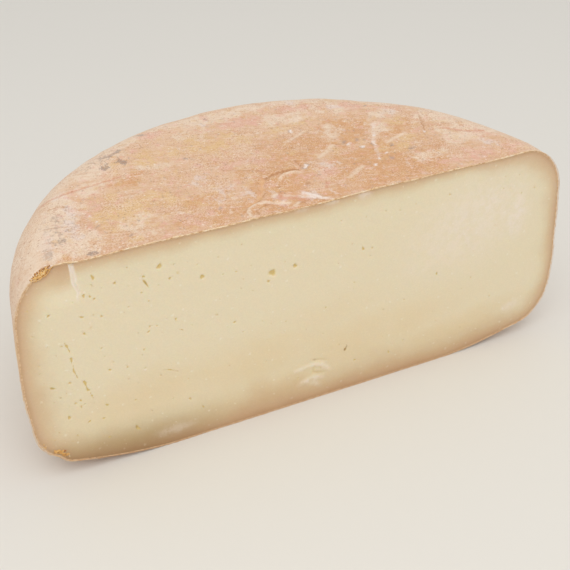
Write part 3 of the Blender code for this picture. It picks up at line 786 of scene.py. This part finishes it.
# colour fields on the top: tint, how much of it shows, the size of its grain in millimetres, and
# its ovals, as across and back from the axis, half sizes, lean in degrees, and strength
FIELDS = {
    "orange": (
        (213, 160, 111),
        0.95,
        9,
        [
            (45, 20, 28, 26, 0, 0.9), (38, 56, 26, 18, 0, 0.7), (8, 58, 14, 12, 0, 0.5),
            (-16, 16, 16, 8, 45, 0.6), (-38, 4, 26, 4, 0, 0.4), (-62, 54, 12, 9, 0, 0.35),
            (63, 48, 14, 8, 20, 0.5), (12, 6, 10, 6, 0, 0.6), (76, 30, 10, 8, 0, 0.3),
            (-12, 36, 18, 6, 10, 0.4), (-2, 20, 18, 10, 0, 0.6), (-34, 8, 26, 9, 0, 0.6),
            (8, 42, 18, 9, 0, 0.7), (-38, 27, 18, 8, 20, 0.4), (24, 12, 16, 10, 0, 0.4),
            (-8, 4, 20, 7, 0, 0.8), (-2, 26, 13, 12, 0, 1.0), (26, 18, 14, 9, 0, 0.9),
            (-108, 5, 7, 8, 0, 1.0), (-30, 6, 16, 5, 0, 0.5), (72, 53, 5, 5, 0, 0.5),
            (60, 18, 6, 5, 0, 0.4), (-24, 54, 8, 5, 0, 0.4),
        ],
    ),
    "ochre": (
        (225, 188, 136),
        0.9,
        9,
        [
            (-50, 72, 20, 10, 15, 0.5), (-20, 72, 24, 12, 0, 0.6), (-72, 28, 14, 14, 0, 0.6),
            (-56, 30, 10, 8, 0, 0.4), (70, 56, 8, 6, 0, 0.4), (-76, 42, 8, 6, 0, 0.4),
            (60, 36, 12, 8, 10, 0.5), (-92, 6, 20, 4, 0, 0.4), (20, 75, 14, 6, 0, 0.4),
        ],
    ),
    "pink": (
        (225, 177, 154),
        0.9,
        6,
        [
            (-6, 9, 12, 6, 0, 0.5), (14, 24, 13, 6, 0, 0.5), (-44, 95, 8, 4, 0, 0.9),
            (5, 88, 14, 6, 0, 0.6), (32, 92, 20, 6, -15, 0.6), (57, 84, 9, 5, -30, 0.9),
            (88, 9, 22, 8, 0, 0.45), (97, 27, 9, 7, -35, 0.6), (-84, 50, 12, 14, 50, 0.3),
            (-20, 50, 14, 10, 0, 0.3), (-45, 12, 16, 8, 0, 0.3), (-90, 36, 8, 14, 0, 0.3),
            (75, 72, 14, 8, -45, 0.4), (-12, 24, 4, 4, 0, 0.6), (-5, 48, 12, 8, 0, 0.4),
        ],
    ),
    "cream": (
        (234, 211, 186),
        0.9,
        7,
        [
            (-76, 74, 16, 9, 42, 0.9), (-101, 33, 9, 22, -20, 0.9), (-99, 12, 16, 12, 0, 0.6),
            (-60, 90, 15, 5, 32, 0.9), (-15, 100, 26, 6, 0, 0.8), (35, 100, 18, 5, -15, 0.8),
            (93, 50, 10, 16, 30, 0.7), (75, 82, 12, 6, -42, 0.9), (84, 37, 4, 5, 0, 0.8),
            (102, 34, 6, 14, 20, 0.8), (-52, 63, 10, 4, -10, 0.6), (-70, 12, 10, 8, 0, 0.4),
            (24, 84, 16, 10, 0, 0.5), (36, 60, 9, 9, 0, 0.5), (12, 102, 10, 4, 0, 0.9),
            (60, 52, 7, 6, 0, 0.6), (90, 30, 14, 12, 0, 0.6), (-94, 44, 8, 8, 0, 0.7),
            (-66, 20, 12, 7, 0, 0.45), (-24, 86, 12, 10, 0, 0.4), (70, 66, 10, 6, -30, 0.5),
            (58, 54, 10, 8, 0, 0.5), (66, 17, 14, 6, 0, 0.4), (-84, 55, 9, 7, 40, 0.6),
            (50, 84, 20, 8, -20, 0.4),
        ],
    ),
    "lilac": (
        (229, 212, 203),
        0.7,
        3,
        [
            (-108, 16, 3, 13, -8, 0.8), (-96, 24, 4, 11, 5, 0.7), (-93, 38, 3, 8, 10, 0.7),
            (-96, 54, 5, 5, 0, 0.5), (50, 85, 5, 3, -20, 0.7), (72, 67, 4, 4, 0, 0.7),
            (96, 16, 4, 6, 20, 0.6), (33, 100, 2, 4, 0, 1.0), (-31, 27, 5, 12, -30, 0.4),
            (-36, 41, 5, 7, -30, 0.4), (20, 30, 7, 6, 0, 0.4), (-14, 95, 5, 4, 0, 0.4),
            (-22, 20, 4, 8, 0, 0.4), (3, 8, 3, 6, -40, 0.6), (-12, 16, 2, 4, 0, 0.6),
        ],
    ),
    "mould": (
        (158, 138, 126),
        0.85,
        2,
        [
            (-109, 10, 2, 5, 0, 0.75), (-103, 17, 3.5, 3, 0, 0.5), (-99, 37, 1.8, 2, 0, 0.6),
            (-67, 81, 4, 1.6, 30, 0.75), (-61.5, 84, 3.4, 2, 30, 0.7), (-61.5, 73.5, 2, 3.2, 10, 0.9),
            (-70.5, 70.5, 2, 2.6, -30, 0.9), (-66, 73.5, 4, 1.2, 0, 0.5), (-92.6, 3, 2.4, 1.5, 0, 1.0),
            (-47, 97.5, 3.4, 1.8, -20, 0.7), (-12, 100, 1.6, 1.8, 0, 0.6), (-35, 64, 2, 1.6, 0, 0.5),
            (-106, 22, 5, 6, 0, 0.3), (-100, 30, 7, 12, 0, 0.25), (-72, 80, 12, 8, 40, 0.25),
        ],
    ),
}
found = places(rind)
top = np.column_stack([found[:, 0], found[:, 1] - CUT_Y]) / MM
# down the side the same colours lie in ovals drawn by chance, along the side and up it
SIDE_TO_TOP = (88, 98)
SIDE_OVALS, SIDE_REACH, SIDE_HEIGHT, SIDE_RADIUS = 22, 205, 96, 1.17 * BASE_EDGE_RADIUS
OVAL_LENGTHS, OVAL_HEIGHTS, OVAL_LEANS, OVAL_STRENGTHS = (1, 3.2), (0.6, 1.4), (-15, 15), (0.4, 0.9)
on_top = smooth(found[:, 2] / MM, *SIDE_TO_TOP)
along_side = np.arctan2(top[:, 0], top[:, 1]) * SIDE_RADIUS / MM
on_side = np.column_stack([along_side, found[:, 2] / MM])
draw = random.Random(3)
for name, (_, _, size, spots) in FIELDS.items():
    ovals = []
    for _ in range(SIDE_OVALS):
        middle = (draw.uniform(-SIDE_REACH, SIDE_REACH), draw.uniform(0, SIDE_HEIGHT))
        reach = (draw.uniform(*OVAL_LENGTHS) * size, draw.uniform(*OVAL_HEIGHTS) * size)
        ovals.append((*middle, *reach, draw.uniform(*OVAL_LEANS), draw.uniform(*OVAL_STRENGTHS)))
    keep(rind, name, patches(top, spots) * on_top + patches(on_side, ovals) * (1 - on_top))


def vector(tree, operation, *values, output="Vector"):
    """A sum of places, such as the way from one to another."""
    made = node(tree, "VectorMath", {"operation": operation})
    for socket, value in zip(made.inputs, values):
        feed(tree, socket, value)
    return made.outputs[output]


def stroke_group():
    """A line from start to end over the top, as a mask: strongest along the line."""
    inputs = {"Vector": "Vector", "Start": "Vector", "End": "Vector", "Width": "Float"}
    group, given, result = new_group("stroke", inputs, "Mask")
    from_start = vector(group, "SUBTRACT", given["Vector"], given["Start"])
    from_start = vector(group, "MULTIPLY", from_start, (1, 1, 0))
    run = vector(group, "SUBTRACT", given["End"], given["Start"])
    dot = vector(group, "DOT_PRODUCT", from_start, run, output="Value")
    share = sums(group, "DIVIDE", dot, vector(group, "DOT_PRODUCT", run, run, output="Value"))
    share = node(group, "Clamp", Value=share).outputs[0]
    scaled = node(group, "VectorMath", {"operation": "SCALE"}, Scale=share)
    feed(group, scaled.inputs[0], run)
    gap = vector(group, "SUBTRACT", from_start, scaled.outputs[0])
    gap = vector(group, "LENGTH", gap, output="Value")
    feed(group, result, between(group, gap, given["Width"], 0.0))
    return group


stroke = stroke_group()


def strokes(tree, where, routes, width):
    """Bent lines over the top, from routes in millimetres from the wheel's axis."""
    mask = 0.0
    for route in routes:
        ends = [(across * MM, CUT_Y + back * MM, 0) for across, back in route]
        for start, end in zip(ends, ends[1:]):
            line = grouped(tree, stroke, Vector=where, Start=start, End=end, Width=width * MM)
            mask = sums(tree, "MAXIMUM", mask, line)
    return mask


# lines and dots on the top: colour, strength, width, routes
CREAM, WHITE, LUMP_SHADOW = (236, 213, 188), (240, 226, 216), (176, 152, 138)
BROWN, RED, AMBER = (186, 134, 92), (208, 140, 112), (230, 184, 136)
LINES = [
    (AMBER, 0.6, 1.7, [[(-25, 11), (-20, 14), (-17, 17.5), (-15, 21), (-13.5, 25), (-12, 29)]]),
    # the next four brown lines, in the long crease, the fold and the branch, are painted shade in those
    # creases
    (BROWN, 0.8, 0.8, [[(-27, 8.5), (-22, 12.5), (-19, 13.6)], [(-16.5, 16), (-15, 18)]]),
    (BROWN, 1.0, 1.2, [[(-10, 29.8), (-5, 31.4), (0, 32.2), (3, 32), (6.5, 30.8)]]),
    (BROWN, 0.95, 1.9, [[(-2.0, 29.3), (0, 31.6)], [(-0.5, 31.5), (1.5, 32)]]),
    (BROWN, 0.8, 1.1, [[(8.8, 39.5), (9.0, 35.5), (8.2, 33.0)], [(-9, 20), (-7.4, 20.4)]]),
    (BROWN, 0.8, 1.7, [[(4.6, 17.5), (5.2, 18.0)]]),
    (BROWN, 0.7, 0.9, [[(-6, 3.5), (1, 5.5), (6, 0.5)], [(-24.5, 2), (-24, 6), (-20, 8.5), (-15, 9)]]),
    (RED, 0.5, 2.2, [[(-9.5, 14), (-5.5, 9)], [(-10.8, 12), (-9, 15)], [(-4, 7.5), (-1, 6)]]),
    (CREAM, 0.9, 1.6, [[(-27.6, 0), (-28.0, 4.2), (-26.2, 8.6), (-22.5, 10.6), (-17.0, 10.9)]]),
    # the first cream route on the next line, along the fold, is a painted highlight
    (CREAM, 0.8, 1.4, [[(-4.4, 26), (-3.6, 27.4), (-1, 28.8), (4, 29.6)], [(-15.5, 9.8), (-9.5, 6.2)]]),
    (CREAM, 0.7, 1.6, [[(-13.4, 14), (-11, 15.6)], [(-8.4, 12.6), (-5.6, 11)], [(-7.6, 3.2), (-5.6, 5)]]),
    (WHITE, 0.8, 1.5, [[(-0.4, 11.4), (2, 7.8), (4.4, 4.2), (7.6, 1.2)]]),
    (WHITE, 0.6, 1.6, [[(-3, 9.6), (-0.4, 6.8), (2.4, 5.6), (5, 3)], [(-1, 10.4), (1, 8.4)]]),
    (WHITE, 0.45, 1.2, [[(-17, 2), (-16, 0.4)], [(-12.5, 7), (-9.5, 9.2)], [(11, 9.5), (11.6, 4)]]),
    (RED, 0.6, 1.2, [[(12.6, 15.5), (10.6, 11)], [(84, 40), (89, 35), (94, 30.5), (100.5, 27)]]),
    (RED, 0.55, 1.1, [[(-91, 54.5), (-78, 57.5), (-66, 60)], [(-104, 55), (-91, 54.5)]]),
    (CREAM, 0.75, 2.2, [[(20.5, 38.2), (24.5, 41)], [(25, 41), (31, 47)], [(23, 14), (33, 21)]]),
    (CREAM, 0.7, 1.7, [[(55, 37.5), (60, 40), (67, 42.5)], [(13, 59), (26, 67)], [(3, 29.5), (6, 28.5)]]),
    (WHITE, 0.4, 1.5, [[(44.5, 26), (47, 34), (50, 42), (53.5, 48), (59, 59)]]),
    (BROWN, 0.6, 0.8, [[(84, 58.5), (80, 48), (76, 39)], [(-101, 45.5), (-97, 45.5), (-93.5, 43)]]),
    (BROWN, 0.4, 0.9, [[(8, 56), (14, 50), (22, 46)], [(-24, 46), (-8, 36)], [(75, 38), (74, 33)]]),
    # the grey marks are painted shadows at the white lumps
    (LUMP_SHADOW, 0.8, 2.0, [[(9.2, 31), (11.8, 33.6)], [(37.2, 46.5), (37.8, 48)], [(61, 26.8), (62.6, 27.4)]]),
    (LUMP_SHADOW, 0.7, 1.9, [[(42, 38), (42.2, 38.6)], [(48.2, 22), (48.8, 23)], [(43.6, 45.8), (44.2, 47.2)]]),
    (LUMP_SHADOW, 0.8, 1.2, [[(55, 33.4), (55.6, 35.2)], [(19.4, 68.6), (19.6, 70.6)], [(65.2, 79), (66, 79.6)]]),
    (LUMP_SHADOW, 0.6, 1.2, [[(-37, 14), (-36.6, 15)], [(-76, 8.6), (-75.8, 9.4)], [(-87, 21), (-86, 22)]]),
    (LUMP_SHADOW, 0.6, 1.1, [[(-94, 42.6), (-93.6, 43.4)], [(46.4, 44.8), (46.8, 45.4)], [(47.6, 38), (48, 40)]]),
    (WHITE, 1.0, 1.5, [[(10.2, 31.8), (11, 33.2)], [(38, 44.2), (38.8, 45.2)], [(42.6, 38.4), (43, 39.2)]]),
    (WHITE, 1.0, 1.4, [[(43, 23.8), (43.4, 25.2)], [(38.4, 18.9), (38.8, 19.6)]]),
    (WHITE, 1.0, 1.4, [[(20.4, 69), (20.6, 70.6)]]),
    (WHITE, 0.9, 1.3, [[(49, 38.4), (49.6, 41)], [(48.6, 27.6), (49, 28.2)], [(53, 46.4), (53.4, 47.4)]]),
    (WHITE, 0.8, 1.0, [[(-87, 31.4), (-86.8, 32.2)], [(-85.6, 25.6), (-85.4, 26.6)]]),
    (WHITE, 0.8, 1.0, [[(76, 39), (76.4, 40)]]),
]

where = node(tree, "TexCoord").outputs["Object"]
apart = node(tree, "SeparateXYZ", Vector=where).outputs
# the lines are shaken, so that they come out ragged
SHAKE, SHAKE_SIZE = 2.6 * MM, 2.2 * MM
shaken = node(tree, "TexNoise", Vector=where, Scale=1 / SHAKE_SIZE, Detail=3.0).outputs["Color"]
shaken = vector(tree, "MULTIPLY_ADD", shaken, (SHAKE, SHAKE, 0), (-SHAKE / 2, -SHAKE / 2, 0))
ragged = vector(tree, "ADD", where, shaken)

# painted light: it is made a little paler away from the cut, as if lit from behind, over cloudy paler
# patches
base = between(tree, cloud(tree, where, 14 * MM, 5, 0.65), 0.3, 0.7, 0.0, 0.35)
base = sums(tree, "ADD", base, between(tree, apart["Y"], CUT_Y, CUT_Y + 100 * MM, 0.1, 0.5))
body = blend(tree, base, colour(215, 170, 132), colour(230, 196, 164))
# each field's edge is broken up by clouds of its own grain, turned and shifted from field to field
for n, (name, (tint, shown, size, _)) in enumerate(FIELDS.items()):
    shift = (0.11 * n, 0.07 * n, 0)
    broken = cloud(tree, placed(tree, where, (1, 0.7, 1), 30 - 20 * n, shift), size * MM, 6, 0.7)
    spread = sums(tree, "ADD", kept(tree, name), sums(tree, "MULTIPLY_ADD", broken, 2.4, -1.2))
    body = blend(tree, between(tree, spread, 0.15, 0.6, 0.0, shown), body, colour(*tint))


def mottled(tree, body, pattern, rows, shown=1.0):
    """Tints a colour where a pattern goes from low to high: low, high, strength, tint."""
    for low, high, strength, tint in rows:
        share = sums(tree, "MULTIPLY", between(tree, pattern, low, high, 0.0, strength), shown)
        body = blend(tree, share, body, colour(*tint))
    return body


TONES = [(0.53, 0.66, 0.55, (230, 176, 158)), (0.47, 0.34, 0.55, (222, 184, 130))]
tone = cloud(tree, placed(tree, where, shift=(0.3, 0.1, 0)), 5 * MM, 6, 0.7)
body = mottled(tree, body, tone, TONES)
MOTTLES = [(0.52, 0.68, 0.4, (237, 214, 194)), (0.46, 0.32, 0.4, (204, 152, 108))]
mottle = cloud(tree, placed(tree, where, shift=(0.1, 0.2, 0)), 3.5 * MM, 5, 0.72)
body = mottled(tree, body, mottle, MOTTLES)
# the shoulder is paler: its own cream together with a painted sheen where the top rounds over
from_axis = placed(tree, where, (1, 1, 0), shift=(0, -CUT_Y, 0))
from_axis = vector(tree, "LENGTH", from_axis, output="Value")
shoulder = between(tree, from_axis, 102 * MM, 116 * MM)
shoulder = sums(tree, "MULTIPLY", shoulder, between(tree, apart["Z"], 60 * MM, 92 * MM, 0.3, 1.0))
patchy = between(tree, cloud(tree, where, 12 * MM, 4), 0.35, 0.6, 0.45, 0.95)
body = blend(tree, sums(tree, "MULTIPLY", shoulder, patchy), body, colour(235, 212, 187))
# the brush left streaks and rubbed some places smoother than others
rubbed = between(tree, cloud(tree, where, 18 * MM, 4), 0.38, 0.6, 0.35, 1.0)
along_brush = placed(tree, placed(tree, where, turn=15), (0.14, 1, 1))
STREAKS = [(0.54, 0.68, 0.4, (240, 217, 194)), (0.46, 0.32, 0.4, (198, 147, 108))]
streaks = cloud(tree, along_brush, 1.5 * MM, 4, 0.65)
body = mottled(tree, body, streaks, STREAKS)
FINE_GRAIN = [(0.52, 0.64, 0.6, (242, 218, 196)), (0.48, 0.36, 0.6, (190, 138, 100))]
fine = cloud(tree, where, 0.6 * MM, 2, 0.7)
body = mottled(tree, body, fine, FINE_GRAIN, rubbed)
# specks: spacing, reach as a share of it, how few show, colour, strength
SPECKS = [
    (1.8 * MM, 0.28, 0.6, (164, 114, 84), 0.5),
    (2.4 * MM, 0.24, 0.58, (247, 232, 218), 0.5),
]
for spacing, reach, fewness, tint, strength in SPECKS:
    cells = node(tree, "TexVoronoi", Vector=where, Scale=1 / spacing)
    drawn = node(tree, "SeparateColor", Color=cells.outputs["Color"]).outputs
    spot = between(tree, cells.outputs["Distance"], reach, reach * 0.5)
    shown = between(tree, drawn["Green"], fewness, fewness + 0.2, 0, strength)
    body = blend(tree, sums(tree, "MULTIPLY", spot, shown), body, colour(*tint))
uneven = between(tree, cloud(tree, where, 1.5 * MM, 3), 0.3, 0.55, 0.4, 1.0)
uneven = sums(tree, "MULTIPLY", uneven, between(tree, apart["Z"], 80 * MM, 90 * MM))
for tint, strength, width, routes in LINES:
    mask = sums(tree, "MULTIPLY", strokes(tree, ragged, routes, width), uneven)
    body = blend(tree, sums(tree, "MULTIPLY", mask, strength), body, colour(*tint))
feed(tree, shader.inputs["Base Color"], body)
relief = bump(tree, fine, 0.35 * MM, strength=0.7)
relief = bump(tree, cloud(tree, where, 2.5 * MM, 4, 0.6), 0.5 * MM, relief, 0.8)
feed(tree, shader.inputs["Normal"], relief)

tree, shader = rim_tree, rim_shader
where = node(tree, "TexCoord").outputs["Object"]
speckle = between(tree, cloud(tree, where, 1.2 * MM), 0.35, 0.65)
feed(tree, shader.inputs["Base Color"], blend(tree, speckle, colour(200, 160, 120), colour(220, 188, 150)))
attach(rind, "root")
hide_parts("half_wheel")

# The torn edge: dry rind that the knife dragged into a thin, ragged, golden line round the cut.
# Here and there it rolled up into a thicker shred that hangs a little over the face.

EDGE_RADIUS = 0.3 * MM
# its thickness goes slowly from knot to knot, and quickly from point to point
KNOT_STEP, THICK_LEAST, THICK_SLOW, THICK_QUICK = 7, 0.4, 0.55, 0.1
THINNER_AT_SIDES, THINNER_AT_BASE = 0.5, 0.3
NEAR_SIDES, NEAR_BASE, AT_SIDES, LOW = (112, 122), (3, 8), (108, 120), (3, 9)
EDGE_JITTER, EDGE_OUTWARDS, EDGE_FORWARDS = 0.06, 0.35, 0.1
EDGE_LOWEST = 0.05 * MM
# it is golden near a chip, and darker near the floor on its left, as painted shade
NEAR_CHIP, FLOOR_SHADE_TO_RIGHT, SHRED_SHARES = (4, 8), (-100, -50), (0.2, 1.0)
# places round the rim where the shreds are thicker: across, up, reach, how much thicker
SHREDS = [
    (-61, 104.5, 3.5, 1.6), (-30, 104, 3, 0.5), (8, 105, 8, 1.1), (28, 105, 9, 0.8), (-113, 102, 6, 1.2),
    (-103, 105, 3, 0.9), (60, 105, 14, 0.5), (-121, 15, 6, 1.2), (-108, 7, 6, 0.6), (-127, 22, 4, 0.7),
    (100, 105, 8, 0.5), (-80, 105, 6, 0.4),
]
pick(torn_edge)
torn_edge.name = torn_edge.data.name = "torn_edge"
bpy.ops.object.mode_set(mode="EDIT")
bpy.ops.mesh.select_all(action="SELECT")
bpy.ops.mesh.subdivide(number_cuts=2)
bpy.ops.object.mode_set(mode="OBJECT")
bpy.ops.object.convert(target="CURVE")
line = torn_edge.data
line.bevel_depth, line.bevel_resolution = EDGE_RADIUS, 1
draw = random.Random(21)
points = line.splines[0].points
knots = [draw.random() for _ in range(len(points) // KNOT_STEP + 2)]
for n, point in enumerate(points):
    across, up = point.co.x / MM, point.co.z / MM
    slow = np.interp(n / KNOT_STEP, range(len(knots)), knots)
    thick = THICK_LEAST + THICK_SLOW * slow + THICK_QUICK * draw.random()
    thinner = THINNER_AT_SIDES * smooth(abs(across), *NEAR_SIDES)
    thinner += THINNER_AT_BASE * (1 - smooth(up, *NEAR_BASE))
    thick *= 1 - thinner
    for shred_across, shred_up, reach, more in SHREDS:
        gap = math.dist((across, up), (shred_across, shred_up))
        thick += more * max(0.0, 1 - gap / reach) * draw.uniform(*SHRED_SHARES)
    point.radius = thick
    jitter = Vector([draw.uniform(-EDGE_JITTER, EDGE_JITTER) for _ in range(3)])
    outwards = math.copysign(EDGE_OUTWARDS, across) * smooth(abs(across), *AT_SIDES)
    shift = Vector((outwards, -EDGE_FORWARDS, 0)) + jitter
    point.co = (*(point.co.xyz + shift * MM), 1)
bpy.ops.object.convert(target="MESH")
settle(torn_edge)
displace(torn_edge, 1.4 * MM, 0.26 * MM, 1)
found = places(torn_edge)
found[:, 2] = np.maximum(found[:, 2], EDGE_LOWEST)
put(torn_edge, found)
across, up = found[:, 0] / MM, found[:, 2] / MM
from_chip = np.full(len(found), np.inf)
for middle, *_ in CHIPS:
    from_chip = np.minimum(from_chip, np.hypot(*(found[:, ::2] / MM - middle).T))
keep(torn_edge, "golden", 1 - smooth(from_chip, *NEAR_CHIP))
keep(torn_edge, "side", smooth(np.abs(across), *AT_SIDES))
keep(torn_edge, "dark", (1 - smooth(up, *LOW)) * (1 - smooth(across, *FLOOR_SHADE_TO_RIGHT)))
bpy.ops.object.shade_smooth()
torn_edge.data.materials.clear()
tree, shader = material_for(torn_edge, "golden torn rind", 0.6)
where = node(tree, "TexCoord").outputs["Object"]
apart = node(tree, "SeparateXYZ", Vector=where).outputs
body = ramp(
    tree,
    cloud(tree, where, 2.2 * MM, 3, 0.65),
    [
        (0.34, colour(196, 148, 100)),
        (0.44, colour(224, 188, 142)),
        (0.56, colour(238, 212, 174)),
        (0.68, colour(243, 226, 200)),
    ],
)
body = blend(tree, kept(tree, "golden"), body, colour(206, 156, 88))
at_right = between(tree, apart["X"], -10 * MM, 10 * MM)
side = blend(tree, at_right, colour(224, 192, 150), colour(224, 193, 162))
body = blend(tree, sums(tree, "MULTIPLY", kept(tree, "side"), 0.8), body, side)
# painted shade near the floor: darker at the lower left, and browner along the base
body = blend(tree, kept(tree, "dark"), body, colour(160, 116, 76))
body = blend(tree, between(tree, apart["Z"], 8 * MM, 2 * MM, 0.0, 0.7), body, colour(190, 156, 120))
feed(tree, shader.inputs["Base Color"], body)
feed(tree, shader.inputs["Normal"], bump(tree, cloud(tree, where, 0.5 * MM, 3), 0.2 * MM))
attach(torn_edge, "root")
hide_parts("half_wheel")

# The crumbs: broken bits of golden rind that stick in the rim's two chips, at the upper left and
# the lower left of the cut, with dark dry ones at the edge. Each is an uneven little lump, and
# they lie packed together.

# route on the face, spread across it, how many, sizes, and how pale from 0 to 1
CRUMB_PLACES = [
    ([(-117.3, 101.0), (-114.9, 103.2), (-112.6, 104.4), (-110.0, 104.9)], 0.4, 34, (0.4, 0.9), 0.35),
    ([(-116.3, 100.2), (-113.5, 102.2), (-110.8, 103.8)], 0.7, 90, (0.6, 1.4), 0.68),
    ([(-115.4, 101.9), (-113.3, 103.2)], 0.4, 14, (0.6, 1.1), 0.95),
    ([(-122.6, 16.2), (-120.6, 14.6), (-118.4, 12.4)], 0.8, 110, (0.7, 1.6), 0.5),
    ([(-127.2, 21.6), (-126.0, 19.8)], 0.5, 16, (0.5, 1.1), 0.6),
    ([(-118.0, 11.6), (-117.6, 10.3)], 0.5, 14, (0.7, 1.3), 0.9),
    ([(-116.5, 9.0), (-112.0, 7.3), (-104.0, 5.3), (-96.0, 3.8)], 0.25, 60, (0.4, 0.8), 0.1),
]
CRUMB_SCATTER, CRUMB_SINK, CRUMB_TINTS = 0.6, (0.1, 0.7), (-0.15, 0.15)
CRUMB_DEPTHS, CRUMB_FLATNESS = (0.6, 1.0), (0.5, 0.9)
draw = random.Random(8)
bits = []
bpy.ops.object.select_all(action="DESELECT")
for route, spread, count, sizes, pale in CRUMB_PLACES:
    for _ in range(count):
        step = draw.random() * (len(route) - 1)
        start, end = Vector(route[int(step)]), Vector(route[int(step) + 1])
        stray = Vector((draw.gauss(0, CRUMB_SCATTER), draw.gauss(0, CRUMB_SCATTER)))
        spot = start.lerp(end, step % 1) + stray * spread
        size = draw.uniform(*sizes) * MM
        sink = slip_recess(np.array([spot]))[0] + draw.uniform(*CRUMB_SINK)
        bpy.ops.mesh.primitive_ico_sphere_add(
            subdivisions=2,
            radius=size / 2,
            location=(spot.x * MM, CUT_Y + sink * MM, spot.y * MM),
            rotation=[draw.uniform(0, math.pi) for _ in range(3)],
        )
        bit = bpy.context.object
        bit.scale = (1.0, draw.uniform(*CRUMB_DEPTHS), draw.uniform(*CRUMB_FLATNESS))
        keep(bit, "pale", [pale + draw.uniform(*CRUMB_TINTS)] * len(bit.data.vertices))
        bits.append(bit)
for bit in bits:
    bit.select_set(True)
bpy.ops.object.join()
crumbs = bpy.context.object
crumbs.name = crumbs.data.name = "crumbs"
settle(crumbs)
displace(crumbs, 0.5 * MM, 0.45 * MM, 1)
bpy.ops.object.shade_smooth()
tree, shader = material_for(crumbs, "golden crumb", 0.45)
where = node(tree, "TexCoord").outputs["Object"]
uneven = sums(tree, "MULTIPLY_ADD", cloud(tree, where, 1.0 * MM, 3, 0.7), 1.2, -0.6)
body = ramp(
    tree,
    sums(tree, "ADD", kept(tree, "pale"), uneven),
    [
        (0.0, colour(128, 82, 50)),
        (0.25, colour(172, 114, 64)),
        (0.5, colour(216, 162, 84)),
        (0.75, colour(232, 190, 122)),
        (1.0, colour(240, 216, 182)),
    ],
)
feed(tree, shader.inputs["Base Color"], body)
feed(tree, shader.inputs["Normal"], bump(tree, cloud(tree, where, 0.35 * MM, 3), 0.2 * MM))
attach(crumbs, "root")
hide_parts("half_wheel")

# The plain pale floor and the soft light of a studio: a white room, and a wide lamp in front like
# a window. The camera stands at the photograph's viewpoint, with the lens that its outlines give.

bpy.ops.object.select_all(action="DESELECT")
bpy.ops.mesh.primitive_plane_add(size=6, location=(0, 0, 0))
floor = bpy.context.object
floor.name = "floor"
tree, shader = material_for(floor, "pale floor", 0.9)
shader.inputs["Base Color"].default_value = colour(226, 222, 214)

world = bpy.data.worlds.new("studio")
world.use_nodes = True
room = world.node_tree.nodes["Background"].inputs
room["Color"].default_value = (1.0, 1.0, 1.0, 1)
room["Strength"].default_value = 0.75
bpy.context.scene.world = world
bpy.context.scene.view_settings.view_transform = "Standard"

LAMP_PLACE, LAMP_AIM = Vector((-0.2, -0.65, 1.1)), Vector((0, 0, 0.05))
LAMP_SIZE, LAMP_POWER = 1.0, 6.2
bpy.ops.object.light_add(type="AREA", location=LAMP_PLACE)
window = bpy.context.object
window.name = "window"
window.rotation_euler = (LAMP_AIM - LAMP_PLACE).to_track_quat("-Z", "Y").to_euler()
window.data.size, window.data.energy = LAMP_SIZE, LAMP_POWER

TARGET = Vector((-0.0149, CUT_Y, 0.0690))
DISTANCE = 0.3879
LENS, SENSOR = 57.1, 36
AZIMUTH, ELEVATION, ROLL = math.radians(-23.26), math.radians(34.12), math.radians(-1.66)
bpy.ops.object.camera_add()
camera = bpy.context.object
camera.data.lens, camera.data.sensor_width = LENS, SENSOR
turn = Matrix.Rotation(AZIMUTH, 4, "Z") @ Matrix.Rotation(math.pi / 2 - ELEVATION, 4, "X")
turn = turn @ Matrix.Rotation(ROLL, 4, "Z")
camera.matrix_world = Matrix.Translation(TARGET + turn @ Vector((0, 0, DISTANCE))) @ turn
bpy.context.scene.camera = camera
